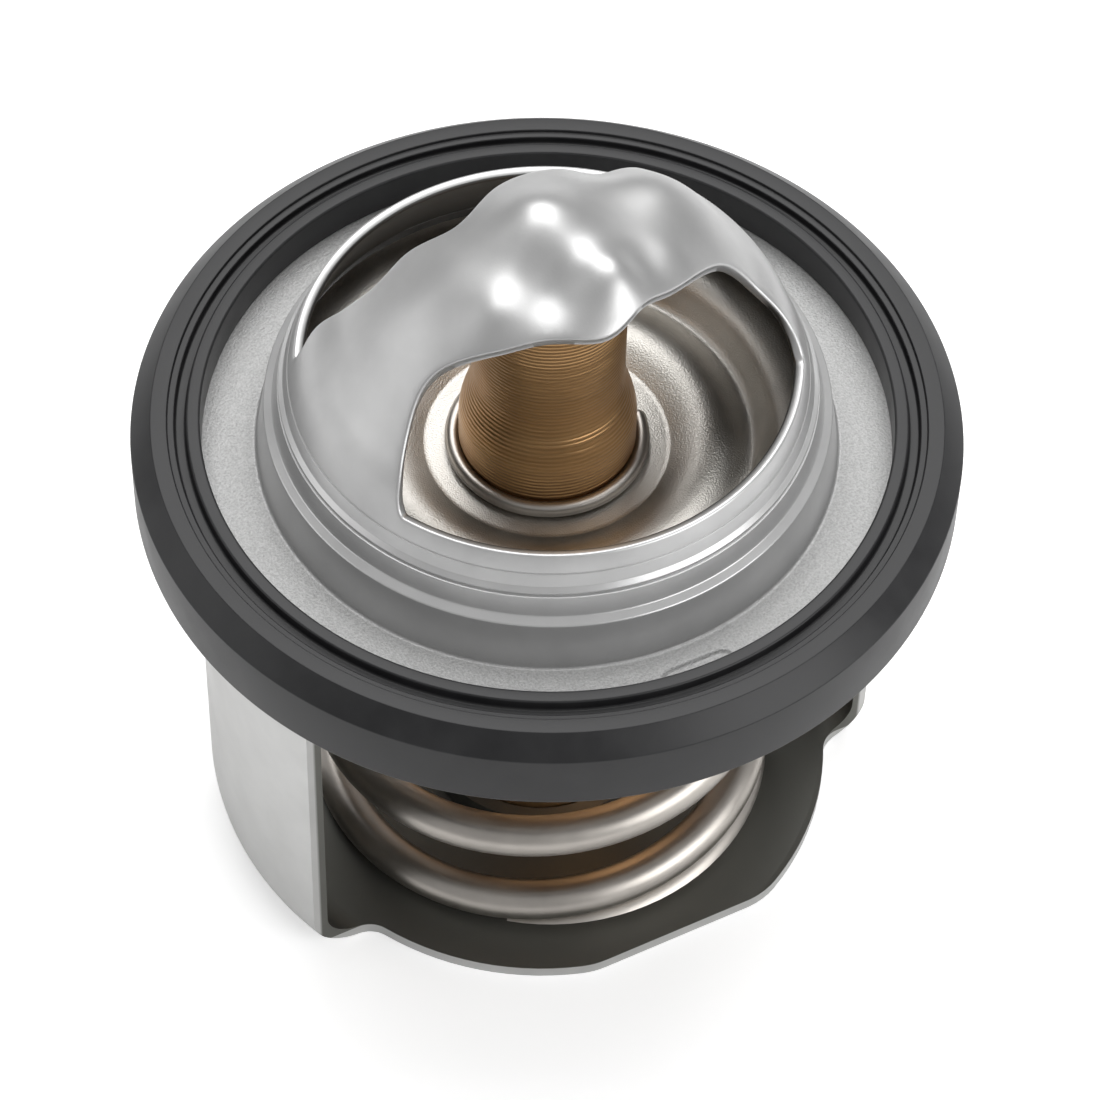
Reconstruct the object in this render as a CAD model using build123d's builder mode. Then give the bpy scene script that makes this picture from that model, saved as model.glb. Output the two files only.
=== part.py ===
from build123d import *
from math import cos, exp, hypot, pi, radians, sin, sqrt
import os

os.makedirs("parts", exist_ok=True)

# Engine thermostat insert, millimetres, +Z up, bridge and legs along X
# The origin is on the axis, at the underside of the lower frame

# Heights over the floor and over the flange
flange_top = 37.9
crown_rise = 21.6
rim_rise = 9.5
collar_step_rise = 4.2
collar_crease_rise = 6.4

# Upper housing, its radii from the rim outwards
housing_sheet = 0.8
rim_radius = 17.0
rim_slant = 1.3
collar_slant = 1.45
collar_foot_slant = 1.25
collar_base_flare = 0.6
flange_width = 5.3
collar_step_half = 0.35
collar_crease_step = 0.3
crown_power = 0.85
crown_tuck = 0.03
crown_root = 1.0
dimple_centre = 22.6
dimple_length = 5.6
dimple_width = 2.0
dimple_depth = 0.35

# Bridge outline seen from above, its front and back edges from left to right
bridge_reach = 9.6
bridge_front = [
    (-17.4, -11.0),
    (-14.0, -6.2),
    (-11.4, -4.1),
    (-6.9, -5.9),
    (-3.6, -6.9),
    (-0.2, -8.3),
    (4.0, -7.0),
    (7.7, -5.6),
    (12.6, -3.9),
    (14.2, -5.3),
    (16.8, -11.0),
]
bridge_back = [
    (-17.9, 5.4),
    (-14.2, 6.9),
    (-10.8, 5.1),
    (-8.2, 5.3),
    (-5.4, 4.3),
    (-1.6, 5.9),
    (2.0, 6.5),
    (6.3, 6.2),
    (10.3, 6.4),
    (14.0, 7.6),
    (17.4, 8.0),
]

# Pressed bulges and hollows of the crown: x, y, height and spread
crown_bumps = [
    (-0.2, 0.3, 1.2, 2.8),
    (1.8, -5.6, 1.3, 2.2),
    (-2.0, -4.4, -0.5, 1.7),
    (-6.2, -3.9, 0.6, 2.0),
    (-8.5, 0.0, 0.4, 3.2),
    (4.5, -4.4, -0.3, 1.5),
    (7.2, -4.2, 0.4, 2.0),
    (10.6, 2.0, 1.6, 4.0),
    (6.4, 5.8, -1.5, 1.9),
]

# Flange seal, its inner rings measured from the flange's edge
seal_wall = 2.1
seal_height = 6.35
seal_lip_reach = 2.8
seal_lip_width = 1.0
seal_groove_depth = 0.8
seal_ledge_depth = 0.25
seal_ledge_reach = 1.0
seal_ridge_reach = 0.5
seal_bevel = 1.45
seal_edge = 0.4
seal_fit = 0.02

# Lower frame
frame_sheet = 1.0
leg_inset = 2.0
leg_half_width = 9.2
leg_bend = 3.6
leg_foot = 1.9
leg_seal_gap = 0.15
plate_front = 19.9
plate_broad_radius = 21.7
plate_narrow_radius = 20.6
plate_waist_fillet = 2.0
plate_corner_fillet = 6.0
guide_height = 3.0
guide_wall = 1.0
guide_mouth = 0.7
guide_fit = 0.06

# Main spring, its end turns closed and ground to a tip
spring_wire = 3.0
spring_radius = 15.9
spring_pitch = 8.3
spring_fit = 0.03
spring_tip = 0.2
spring_tip_angle = -125
closed_turns = 0.95
coil_steps = 16

# Valve plate: heights are over the flange
plate_sheet = 0.8
hub_rise = -0.65
hub_flat_radius = 8.6
swell_radius = 10.8
swell_rise = 0.35
inner_ridge_radius = 13.05
inner_ridge_rise = 0.05
valley_radius = 14.3
valley_rise = -0.35
outer_ridge_radius = 15.75
outer_ridge_rise = 1.9
valve_rim_rise = 2.5
valve_seat_gap = 0.12

# Wax element: heights are over the flange
neck_radius = 5.25
neck_rise = 18.9
neck_foot_rise = 7.6
neck_chamfer = 0.4
barrel_radius = 6.2
barrel_rise = 2.8
hub_fit = 0.05
element_flange_radius = 8.0
element_flange_height = 1.4
ring_wire = 1.1
ring_groove = 0.15
ring_gap = 40
ring_gap_centre = 8
capsule_radius = 7.6
capsule_wall = 0.5
capsule_lip_radius = 7.0
capsule_lift = 0.3
capsule_fillet = 1.5
piston_radius = 1.9
piston_fit = 0.04
piston_tip_gap = 0.18
piston_tip_fillet = 1.5
boot_radius = 3.2
boot_depth = 21.0
boot_flange = 0.8
boot_end = 1.2
piston_end_gap = 0.3
wax_fit = 0.02


# Derived radii
collar_crease_radius = rim_radius + rim_slant
collar_step_radius = collar_crease_radius + collar_slant
collar_base_radius = collar_step_radius + collar_foot_slant
flange_radius = collar_base_radius + collar_base_flare + flange_width
seal_radius = flange_radius + seal_wall
seal_lip_radius = flange_radius - seal_lip_reach
seal_ledge_radius = flange_radius - seal_ledge_reach
seal_ridge_radius = flange_radius - seal_ridge_reach
leg_radius = flange_radius - leg_inset


def crown_height(x, y):
    """Height of the bridge's outer face over the flange: a dome with its bulges."""
    share = min(hypot(x, y) / collar_crease_radius, 1)
    dome = (1 - share**2) ** crown_power
    height = collar_crease_rise + (crown_rise - collar_crease_rise) * dome
    for bump_x, bump_y, size, spread in crown_bumps:
        height += size * exp(-((x - bump_x) ** 2 + (y - bump_y) ** 2) / spread**2)
    return height


# Derived heights
flange_bottom = flange_top - housing_sheet
seal_top = flange_top - housing_sheet / 2 + seal_height / 2
seal_bottom = seal_top - seal_height
rim_top = flange_top + rim_rise
crown_inside = flange_top + crown_height(0, 0) - housing_sheet
hub_top = flange_top + hub_rise
hub_bottom = hub_top - plate_sheet

# Collar wall, measured level through the leaning sheet
lean = housing_sheet * hypot(1, (collar_base_radius - rim_radius) / rim_rise)
collar_inner_foot = collar_base_radius - lean
collar_inner_step = collar_step_radius - collar_step_half - lean


def collar_inside(rise):
    """Inner radius of the collar's lower cone at a height over the flange."""
    share = rise / collar_step_rise
    return collar_inner_foot + (collar_inner_step - collar_inner_foot) * share


# Dome over the collar, from one root to the other, with its pressed bulges
stations = 40
lanes = 16
root_height = flange_top + collar_crease_rise - crown_root
dome_points = []
for station in range(stations + 1):
    along = sin((2 * station / stations - 1) * pi / 2)
    row = []
    for lane in range(lanes + 1):
        y = bridge_reach * (2 * lane / lanes - 1)
        x = along * sqrt((collar_crease_radius - crown_tuck) ** 2 - y**2)
        row.append((x, y, flange_top + crown_height(x, y)))
    dome_points.append(row)
left_root = [(x, y, root_height) for x, y, height in dome_points[0]]
right_root = [(x, y, root_height) for x, y, height in dome_points[-1]]
dome_face = Face.make_surface_from_array_of_points([left_root, *dome_points, right_root], tol=0.02)

# Upper housing: bridge, stepped collar and flange pressed from one sheet
with BuildPart() as upper_housing:
    thicken(dome_face, amount=-housing_sheet)
    with BuildSketch(Plane.XY.offset(flange_top)):
        with BuildLine():
            front = Spline(*bridge_front)
            back = Spline(*bridge_back)
            Line(front @ 1, back @ 1)
            Line(front @ 0, back @ 0)
        make_face()
    extrude(amount=2 * crown_rise, mode=Mode.INTERSECT)
    with BuildSketch(Plane.XZ):
        with BuildLine():
            Polyline(
                (flange_radius, flange_bottom),
                (flange_radius, flange_top),
                (collar_base_radius + collar_base_flare, flange_top),
                (collar_base_radius, flange_top + collar_base_flare),
                (
                    collar_step_radius + collar_step_half,
                    flange_top + collar_step_rise - collar_step_half,
                ),
                (collar_step_radius - collar_step_half, flange_top + collar_step_rise),
                (
                    collar_crease_radius + collar_crease_step,
                    flange_top + collar_crease_rise - collar_crease_step,
                ),
                (collar_crease_radius, flange_top + collar_crease_rise),
                (rim_radius, rim_top),
                (rim_radius - lean, rim_top),
                (collar_crease_radius - lean, flange_top + collar_crease_rise),
                (collar_inner_step, flange_top + collar_step_rise),
                (collar_inner_foot, flange_top),
                (collar_inner_foot, flange_bottom),
                close=True,
            )
        make_face()
    revolve(axis=Axis.Z)
    with BuildSketch(Plane.XY.offset(flange_top - dimple_depth)):
        with Locations((0, -dimple_centre)):
            SlotOverall(dimple_length, dimple_width)
    extrude(amount=dimple_depth, mode=Mode.SUBTRACT)
upper_housing.part.label = "upper_housing"

# Flange seal: moulded ring that grips the flange and the feet of the legs
with BuildPart() as flange_seal:
    with BuildSketch(Plane.XZ):
        with BuildLine():
            Polyline(
                (leg_radius + leg_seal_gap, seal_bottom),
                (leg_radius + leg_seal_gap, flange_bottom - seal_fit),
                (flange_radius + seal_fit, flange_bottom - seal_fit),
                (flange_radius + seal_fit, flange_top + seal_fit),
                (seal_lip_radius, flange_top + seal_fit),
                (seal_lip_radius, seal_top),
                (seal_lip_radius + seal_lip_width, seal_top),
                (seal_lip_radius + seal_lip_width, seal_top - seal_groove_depth),
                (seal_ledge_radius, seal_top - seal_groove_depth),
                (seal_ledge_radius, seal_top - seal_ledge_depth),
                (seal_ridge_radius, seal_top - seal_ledge_depth),
                (seal_ridge_radius, seal_top),
                (seal_radius - seal_bevel, seal_top),
                (seal_radius, seal_top - seal_bevel),
                (seal_radius, seal_bottom + seal_edge),
                (seal_radius - seal_edge, seal_bottom),
                close=True,
            )
        make_face()
    revolve(axis=Axis.Z)
    with BuildSketch(Plane.XY.offset(flange_bottom - frame_sheet - seal_fit)):
        Circle(leg_radius + leg_foot + seal_fit)
        Rectangle(2 * seal_radius, 2 * (leg_half_width + seal_fit), mode=Mode.INTERSECT)
    extrude(amount=frame_sheet + seal_fit, mode=Mode.SUBTRACT)
flange_seal.part.label = "flange_seal"

# Lower frame: pot-shaped stirrup with two legs, a flat plate and a guide
guide_radius = capsule_radius + guide_fit
with BuildPart() as lower_frame:
    with BuildSketch(Plane.XZ):
        with BuildLine():
            floor_start = (guide_radius + guide_mouth, 0)
            floor_end = (leg_radius - leg_bend, 0)
            Line(floor_start, floor_end)
            JernArc(floor_end, (1, 0), leg_bend, 90)
            foot_low = flange_bottom - frame_sheet
            Polyline(
                (leg_radius, leg_bend),
                (leg_radius, foot_low),
                (leg_radius + leg_foot, foot_low),
                (leg_radius + leg_foot, flange_bottom),
                (leg_radius - frame_sheet, flange_bottom),
                (leg_radius - frame_sheet, leg_bend),
            )
            JernArc((leg_radius - frame_sheet, leg_bend), (0, -1), leg_bend - frame_sheet, -90)
            Polyline(
                (leg_radius - leg_bend, frame_sheet),
                (guide_radius + guide_wall, frame_sheet),
                (guide_radius + guide_wall, guide_height),
                (guide_radius, guide_height),
                (guide_radius, guide_mouth),
            )
            JernArc((guide_radius, guide_mouth), (0, -1), guide_mouth, 90)
        make_face()
    revolve(axis=Axis.Z)
    broad_flat = sqrt(plate_broad_radius**2 - plate_front**2)
    narrow_flat = sqrt(plate_narrow_radius**2 - plate_front**2)
    broad_waist = sqrt(plate_broad_radius**2 - leg_half_width**2)
    narrow_waist = sqrt(plate_narrow_radius**2 - leg_half_width**2)
    leg_reach = leg_radius + 2 * leg_foot
    with BuildSketch() as plan:
        with BuildLine():
            for side in (1, -1):
                Line((side * leg_reach, side * leg_half_width), (side * leg_reach, -side * leg_half_width))
                Line((side * leg_reach, -side * leg_half_width), (side * broad_waist, -side * leg_half_width))
                RadiusArc(
                    (side * broad_waist, -side * leg_half_width),
                    (side * broad_flat, -side * plate_front),
                    plate_broad_radius,
                )
                Line((side * broad_flat, -side * plate_front), (-side * narrow_flat, -side * plate_front))
                RadiusArc(
                    (-side * narrow_flat, -side * plate_front),
                    (-side * narrow_waist, -side * leg_half_width),
                    plate_narrow_radius,
                )
                Line((-side * narrow_waist, -side * leg_half_width), (-side * leg_reach, -side * leg_half_width))
        make_face()
        corners = plan.vertices().filter_by(lambda corner: abs(corner.X) < leg_radius)
        fillet(corners.filter_by(lambda corner: abs(corner.Y) > leg_half_width + 1), plate_corner_fillet)
        waists = plan.vertices().filter_by(lambda corner: abs(abs(corner.Y) - leg_half_width) < 0.01)
        fillet(waists.filter_by(lambda corner: abs(corner.X) < leg_radius), plate_waist_fillet)
    extrude(amount=flange_top, mode=Mode.INTERSECT)
lower_frame.part.label = "lower_frame"

# Main spring: round wire, its end turns closed and ground flat on their seats
spring_seat = flange_top + valley_rise - plate_sheet - spring_fit
spring_low = frame_sheet + spring_fit
active_turns = (spring_seat - spring_low - spring_wire) / spring_pitch
spring_turns = active_turns + 2 * closed_turns
closed_pitch = (spring_wire - spring_tip) / closed_turns


def coil_rise(turn):
    """Height of the wire's centre line over the lower seat after some turns from the tip."""
    rise = spring_tip - spring_wire / 2 + closed_pitch * min(turn, closed_turns)
    rise += spring_pitch * min(max(turn - closed_turns, 0), active_turns)
    rise += closed_pitch * max(turn - closed_turns - active_turns, 0)
    return rise


coil_points = []
for step in range(round(spring_turns * coil_steps) + 1):
    turn = step * spring_turns / round(spring_turns * coil_steps)
    angle = radians(spring_tip_angle + 360 * turn)
    x = spring_radius * cos(angle)
    y = spring_radius * sin(angle)
    coil_points.append((x, y, spring_low + coil_rise(turn)))
with BuildPart() as main_spring:
    with BuildLine():
        coil = Spline(*coil_points)
    with BuildSketch(Plane(origin=coil @ 0, z_dir=coil % 0)):
        Circle(spring_wire / 2)
    sweep(path=coil, is_frenet=True)
    split(bisect_by=Plane.XY.offset(spring_low), keep=Keep.TOP)
    split(bisect_by=Plane.XY.offset(spring_seat), keep=Keep.BOTTOM)
main_spring.part.label = "main_spring"

# Valve plate: corrugated disc that closes against the collar's inside
valve_rim_radius = collar_inside(valve_rim_rise) - valve_seat_gap
hub_radius = barrel_radius + hub_fit
with BuildPart() as valve_plate:
    with BuildSketch(Plane.XZ):
        with BuildLine():
            waves = Spline(
                (hub_flat_radius, hub_top),
                (swell_radius, flange_top + swell_rise),
                (inner_ridge_radius, flange_top + inner_ridge_rise),
                (valley_radius, flange_top + valley_rise),
                (outer_ridge_radius, flange_top + outer_ridge_rise),
                (valve_rim_radius, flange_top + valve_rim_rise),
                tangents=[(1, 1), (1, 0.3)],
            )
            lower_waves = Spline(
                (hub_flat_radius, hub_bottom),
                (swell_radius, flange_top + swell_rise - plate_sheet),
                (inner_ridge_radius, flange_top + inner_ridge_rise - plate_sheet),
                (valley_radius, flange_top + valley_rise - plate_sheet),
                (outer_ridge_radius, flange_top + outer_ridge_rise - plate_sheet),
                (valve_rim_radius, flange_top + valve_rim_rise - plate_sheet),
                tangents=[(1, 1), (1, 0.3)],
            )
            Line(waves @ 1, lower_waves @ 1)
            Polyline(waves @ 0, (hub_radius, hub_top), (hub_radius, hub_bottom), lower_waves @ 0)
        make_face()
    revolve(axis=Axis.Z)
valve_plate.part.label = "valve_plate"

# Guide body: turned brass neck and barrel with a flange for the capsule
element_flange_top = hub_bottom - capsule_wall - seal_fit
guide_low = element_flange_top - element_flange_height
groove_radius = barrel_radius - ring_groove
ring_middle = hub_top + ring_wire / 2 + wax_fit
bore_radius = piston_radius + piston_fit
neck_top = flange_top + neck_rise
with BuildPart() as guide_body:
    with BuildSketch(Plane.XZ):
        with BuildLine():
            Polyline(
                (bore_radius, neck_top),
                (bore_radius, guide_low),
                (element_flange_radius, guide_low),
                (element_flange_radius, element_flange_top),
                (barrel_radius, element_flange_top),
                (barrel_radius, ring_middle - ring_wire / 2),
                (groove_radius, ring_middle - ring_wire / 2),
                (groove_radius, ring_middle + ring_wire / 2),
                (barrel_radius, ring_middle + ring_wire / 2),
                (barrel_radius, flange_top + barrel_rise),
            )
            Spline(
                (barrel_radius, flange_top + barrel_rise),
                (neck_radius, flange_top + neck_foot_rise),
                tangents=[(0, 1), (0, 1)],
            )
            Polyline(
                (neck_radius, flange_top + neck_foot_rise),
                (neck_radius, neck_top - neck_chamfer),
                (neck_radius - neck_chamfer, neck_top),
                (bore_radius, neck_top),
            )
        make_face()
    revolve(axis=Axis.Z)
guide_body.part.label = "guide_body"

# Snap ring: open wire ring that holds the valve plate on the barrel
ring_radius = groove_radius + ring_wire / 2 + wax_fit
with BuildPart() as snap_ring:
    with BuildSketch(Plane.XZ.rotated((0, 0, ring_gap_centre + ring_gap / 2))):
        with Locations((ring_radius, ring_middle)):
            Circle(ring_wire / 2)
    revolve(axis=Axis.Z, revolution_arc=360 - ring_gap)
snap_ring.part.label = "snap_ring"

# Wax capsule: drawn cup with its mouth rolled over the guide's flange
ledge = guide_low - boot_flange
capsule_inside = capsule_radius - capsule_wall
mouth_inside = element_flange_radius + seal_fit
with BuildPart() as wax_capsule:
    with BuildSketch(Plane.XZ):
        with BuildLine():
            Polyline(
                (0, capsule_lift),
                (capsule_radius, capsule_lift),
                (capsule_radius, ledge - 2 * capsule_wall),
                (mouth_inside + capsule_wall, ledge - capsule_wall),
                (mouth_inside + capsule_wall, hub_bottom - seal_fit / 2),
                (capsule_lip_radius, hub_bottom - seal_fit / 2),
                (capsule_lip_radius, element_flange_top + seal_fit / 2),
                (mouth_inside, element_flange_top + seal_fit / 2),
                (mouth_inside, ledge),
                (capsule_inside, ledge),
                (capsule_inside, capsule_lift + capsule_wall),
                (0, capsule_lift + capsule_wall),
                close=True,
            )
        make_face()
    revolve(axis=Axis.Z)
    bottom_edge = wax_capsule.edges().filter_by(GeomType.CIRCLE).group_by(Axis.Z)[0]
    fillet(bottom_edge, capsule_fillet)
wax_capsule.part.label = "wax_capsule"

# Rubber boot: closed sleeve round the piston, its flange clamped by the guide
boot_low = guide_low - boot_depth
boot_bore = piston_radius + piston_fit
with BuildPart() as rubber_boot:
    with BuildSketch(Plane.XZ):
        with BuildLine():
            Polyline(
                (0, boot_low),
                (boot_radius, boot_low),
                (boot_radius, ledge + seal_fit),
                (element_flange_radius, ledge + seal_fit),
                (element_flange_radius, guide_low - seal_fit),
                (boot_bore, guide_low - seal_fit),
                (boot_bore, boot_low + boot_end),
                (0, boot_low + boot_end),
                close=True,
            )
        make_face()
    revolve(axis=Axis.Z)
rubber_boot.part.label = "rubber_boot"

# Wax charge: fills the capsule round the boot
wax_low = capsule_lift + capsule_wall + wax_fit
with BuildPart() as wax_charge:
    with BuildSketch(Plane.XZ):
        with BuildLine():
            Polyline(
                (0, wax_low),
                (capsule_inside - capsule_fillet, wax_low),
                (capsule_inside - wax_fit, wax_low + capsule_fillet),
                (capsule_inside - wax_fit, ledge - wax_fit),
                (boot_radius + wax_fit, ledge - wax_fit),
                (boot_radius + wax_fit, boot_low - wax_fit),
                (0, boot_low - wax_fit),
                close=True,
            )
        make_face()
    revolve(axis=Axis.Z)
wax_charge.part.label = "wax_charge"

# Piston: steel pin that stands in the boot and bears on the crown
piston_low = boot_low + boot_end + piston_end_gap
piston_top = crown_inside - piston_tip_gap
with BuildPart() as piston:
    with BuildSketch(Plane.XY.offset(piston_low)):
        Circle(piston_radius)
    extrude(amount=piston_top - piston_low)
    fillet(piston.edges().group_by(Axis.Z)[-1], piston_tip_fillet)
piston.part.label = "piston"

pieces = [
    upper_housing,
    flange_seal,
    lower_frame,
    main_spring,
    piston,
    valve_plate,
    guide_body,
    snap_ring,
    wax_capsule,
    rubber_boot,
    wax_charge,
]
for piece in pieces:
    export_step(piece.part, f"parts/{piece.part.label}.step")
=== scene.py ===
"""Looks of an engine thermostat insert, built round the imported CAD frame."""

import math

import bmesh
import bpy
import numpy as np
from mathutils import Matrix, Vector
from mathutils.geometry import delaunay_2d_cdt


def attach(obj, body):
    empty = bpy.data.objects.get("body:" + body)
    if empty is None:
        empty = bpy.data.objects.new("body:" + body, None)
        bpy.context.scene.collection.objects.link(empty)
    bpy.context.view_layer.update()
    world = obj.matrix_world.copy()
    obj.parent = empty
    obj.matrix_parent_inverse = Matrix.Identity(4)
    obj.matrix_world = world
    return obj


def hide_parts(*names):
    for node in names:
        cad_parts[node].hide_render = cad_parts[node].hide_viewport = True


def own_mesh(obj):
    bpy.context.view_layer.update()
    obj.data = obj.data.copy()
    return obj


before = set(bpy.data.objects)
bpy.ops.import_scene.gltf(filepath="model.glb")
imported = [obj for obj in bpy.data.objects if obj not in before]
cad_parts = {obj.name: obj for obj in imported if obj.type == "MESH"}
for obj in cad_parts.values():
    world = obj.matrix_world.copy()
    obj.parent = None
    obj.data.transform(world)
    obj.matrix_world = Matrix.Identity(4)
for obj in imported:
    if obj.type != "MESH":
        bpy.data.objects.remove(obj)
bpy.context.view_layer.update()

# Units: every size below is in millimetres, and MM turns it into metres
MM = 0.001

# Heights over the floor and over the flange, the same as the solids' own
FLANGE_TOP = 37.9
SHEET = 0.8
STEP_RISE = 4.2
CREASE_RISE = 6.4

# Upper housing. The collar's foot and step, the rim and the bumps follow the photograph a
# little more closely than the solid does.
FLANGE_RADIUS = 26.9
COLLAR_RADIUS = 20.2
STEP_RADIUS = 19.4
STEP_HALF = 0.3
CREASE_RADIUS = 18.3
CREASE_STEP = 0.3
RIM_RADIUS = 17.3
RIM_RISE = 9.1
JOIN_RADIUS = 17.9
CROWN_RISE = 21.6
CROWN_POWER = 0.85
SHOULDER_START = 14.0
EDGE_ROUND = 0.22
BRIDGE_CUT = 0.45
BRIDGE_CUT_FADE = 1.5
# Painted shade: faces of the sheet that look in towards the axis, beyond this radius, are painted
# dark.
INNER_SHADE_FROM = 14.5
RIM_GROOVE = (0.14, 0.16, 0.09)
SHELF_GROOVE = (0.14, 0.26, 0.24)
GROOVE_FILLET = 0.03
CROWN_SPACING = 0.36
WINDOW_STEP = 0.16
FLANGE_STEP = 0.12
BRIDGE_FRONT = [
    (-17.4, -11.0),
    (-14.0, -6.2),
    (-11.4, -4.1),
    (-6.9, -5.9),
    (-3.6, -6.9),
    (-0.2, -8.3),
    (4.0, -7.0),
    (7.7, -5.6),
    (12.6, -3.9),
    (14.2, -5.3),
    (16.8, -11.0),
]
BRIDGE_BACK = [
    (-17.9, 5.4),
    (-14.2, 6.9),
    (-10.8, 5.1),
    (-8.2, 5.3),
    (-5.4, 4.3),
    (-1.6, 5.9),
    (2.0, 6.5),
    (6.3, 6.2),
    (10.3, 6.4),
    (14.0, 7.6),
    (17.4, 8.0),
]
WINDOW_FILLETS = {"front": (0.9, 1.6), "back": (0.35, 1.2)}
# Each bump: x, y, height and spread
CROWN_BUMPS = [
    (-0.6, 0.8, 1.7, 3.3),
    (1.9, -5.4, 1.5, 2.5),
    (-2.2, -4.2, -0.6, 1.9),
    (-6.2, -3.9, 0.6, 2.0),
    (-8.5, 0.0, 0.4, 3.2),
    (4.5, -4.4, -0.3, 1.5),
    (7.2, -4.2, 0.4, 2.0),
    (10.6, 2.0, 1.6, 4.0),
    (6.4, 5.8, -0.9, 1.9),
]
DIMPLE_CENTRE = 22.7
DIMPLE_LENGTH = 5.6
DIMPLE_WIDTH = 2.0
DIMPLE_DEPTH = 0.2
DIMPLE_SLOPE = 0.28
DIMPLE_TURN = (-100, -80)

# Flange seal
SEAL_RADIUS = 29.0
SEAL_HEIGHT = 6.35
SEAL_LIP_RADIUS = 24.1
SEAL_LIP_WIDTH = 1.0
SEAL_GROOVE = 0.8
SEAL_LEDGE = 0.25
SEAL_LEDGE_RADIUS = 25.9
SEAL_RIDGE_RADIUS = 26.4
SEAL_BEVEL = 1.45
SEAL_EDGE = 0.4
SEAL_FIT = 0.02

# Lower frame
LEG_RADIUS = 24.9
LEG_SEAL_GAP = 0.15
FRAME_SHEET = 1.0

# Main spring
WIRE = 3.0
SPRING_RADIUS = 15.9
SPRING_PITCH = 8.3
SPRING_TIP = 0.2
SPRING_TIP_ANGLE = -125
SPRING_FIT = 0.03
CLOSED_TURNS = 0.95

# Valve plate, its heights over the flange
PLATE_SHEET = 0.8
HUB_RISE = -0.65
HUB_FLAT_RADIUS = 8.6
VALVE_WAVES = [(10.8, 0.35), (13.05, 0.05), (14.3, -0.35), (15.75, 1.9)]
VALVE_RIM_RADIUS = 19.05
VALVE_RIM_RISE = 2.5
VALVE_CLEAR = 0.14

# Wax element, its heights over the flange
NECK_RADIUS = 5.25
NECK_RISE = 18.9
NECK_FOOT_RISE = 7.6
NECK_CHAMFER = 0.4
BARREL_RADIUS = 6.2
BARREL_RISE = 2.8
HUB_FIT = 0.05
ELEMENT_RADIUS = 8.0
ELEMENT_HEIGHT = 1.4
BORE_RADIUS = 1.94
GROOVE_PITCH = 0.34
WAVE_PERIOD = 0.314
RING_WIRE = 1.1
RING_GROOVE = 0.15
RING_GAP = 40
RING_GAP_CENTRE = 8
CAPSULE_RADIUS = 7.6
CAPSULE_WALL = 0.5
CAPSULE_LIP = 7.0
CAPSULE_LIFT = 0.3
CAPSULE_FILLET = 1.5

FLANGE_BOTTOM = FLANGE_TOP - SHEET
SEAL_TOP = FLANGE_TOP - SHEET / 2 + SEAL_HEIGHT / 2
SEAL_BOTTOM = SEAL_TOP - SEAL_HEIGHT
HUB_TOP = FLANGE_TOP + HUB_RISE
HUB_BOTTOM = HUB_TOP - PLATE_SHEET


# Curves in a plane


def through(points, step=0.05):
    """A smooth curve through a few points, sampled evenly."""
    spots = np.asarray(points, float)
    gaps = np.hypot(*np.diff(spots, axis=0).T)
    steps = np.concatenate([[0], np.cumsum(gaps)])
    last = len(spots) - 1
    matrix = np.zeros((last + 1, last + 1))
    values = np.zeros((last + 1, 2))
    matrix[0, 0] = matrix[last, last] = 1
    for i in range(1, last):
        matrix[i, i - 1 : i + 2] = gaps[i - 1], 2 * (gaps[i - 1] + gaps[i]), gaps[i]
        rate = (spots[i + 1] - spots[i]) / gaps[i]
        values[i] = 6 * (rate - (spots[i] - spots[i - 1]) / gaps[i - 1])
    bends = np.linalg.solve(matrix, values)
    places = np.linspace(0, steps[-1], int(steps[-1] / step))
    left = np.clip(np.searchsorted(steps, places, side="right") - 1, 0, last - 1)
    gap = gaps[left][:, None]
    after = (places - steps[left])[:, None] / gap
    before = 1 - after
    bend = (before**3 - before) * bends[left] + (after**3 - after) * bends[left + 1]
    return before * spots[left] + after * spots[left + 1] + bend * gap**2 / 6


def arc(centre, radius, start, end, step=0.02):
    """Points of an arc, its angles in radians."""
    count = max(int(abs(end - start) * radius / step), 2)
    angles = np.linspace(start, end, count)
    return np.stack([centre[0] + radius * np.cos(angles), centre[1] + radius * np.sin(angles)], -1)


def left_of(curve):
    """Unit vectors to the left of a sampled curve."""
    ahead = np.gradient(curve, axis=0)
    ahead /= np.hypot(*ahead.T)[:, None]
    return np.stack([-ahead[:, 1], ahead[:, 0]], -1)


def outline(curves, fillets, step):
    """A closed outline of curves that meet at corners, each corner rounded, sampled evenly."""
    starts = [0] * len(curves)
    ends = [len(curve) for curve in curves]
    arcs = [None] * len(curves)
    for i, size in enumerate(fillets):
        here = curves[i]
        after = curves[(i + 1) % len(curves)]
        bend_in = here[-1] - here[-3]
        bend_out = after[2] - after[0]
        side = math.copysign(1, bend_in[0] * bend_out[1] - bend_in[1] * bend_out[0])
        if size == 0:
            continue
        near = here + side * size * left_of(here)
        far = after + side * size * left_of(after)
        gaps = np.hypot(near[:, None, 0] - far[None, :, 0], near[:, None, 1] - far[None, :, 1])
        j, k = np.unravel_index(np.argmin(gaps), gaps.shape)
        centre = (near[j] + far[k]) / 2
        start = math.atan2(*(here[j] - centre)[::-1])
        end = math.atan2(*(after[k] - centre)[::-1])
        turn = (end - start + math.pi) % (2 * math.pi) - math.pi
        arcs[i] = arc(centre, size, start, start + turn)
        ends[i] = j
        starts[(i + 1) % len(curves)] = k + 1
    parts = []
    for i, curve in enumerate(curves):
        parts.append(curve[starts[i] : ends[i]])
        if arcs[i] is not None:
            parts.append(arcs[i])
    return resampled(np.concatenate(parts), step)


def resampled(loop, step):
    """A closed loop of points, spaced evenly."""
    closed = np.vstack([loop, loop[:1]])
    places = np.concatenate([[0], np.cumsum(np.hypot(*np.diff(closed, axis=0).T))])
    count = int(places[-1] / step)
    wanted = np.linspace(0, places[-1], count, endpoint=False)
    return np.stack([np.interp(wanted, places, column) for column in closed.T], -1)


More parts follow.
